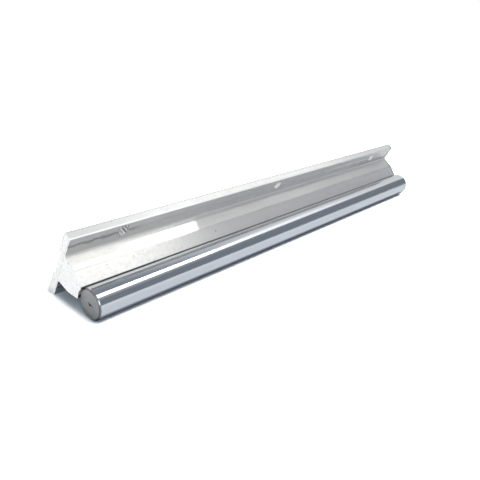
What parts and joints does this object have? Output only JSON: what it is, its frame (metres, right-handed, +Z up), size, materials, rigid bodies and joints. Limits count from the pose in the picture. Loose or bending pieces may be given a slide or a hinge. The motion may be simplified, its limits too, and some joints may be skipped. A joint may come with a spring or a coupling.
{
  "type": "supported round rail",
  "caption": "Round linear-motion shaft screwed to an extruded aluminium support rail with drilled mounting flanges, lying on its side.",
  "frame": {"origin": "centre of the bounding box at floor height, the rail lying on its side on the shaft and on the edge of one flange", "axes": "+X along the rail, +Z up from the floor, -Y from the foot pads towards the shaft, leaning down to the floor"},
  "size_m": [0.3, 0.0416, 0.0378],
  "materials": {
    "aluminium": "mill finish extrusion, lightly streaked along its length, sawn ends",
    "ground_steel": "ground and hard-chromed, mirror bright, matt turned ends",
    "screw_steel": "black oxide"
  },
  "bodies": {
    "root": {"support_rail": "aluminium", "shaft": "ground_steel", "screw_1": "screw_steel", "screw_2": "screw_steel", "screw_3": "screw_steel"}
  },
  "joints": []
}
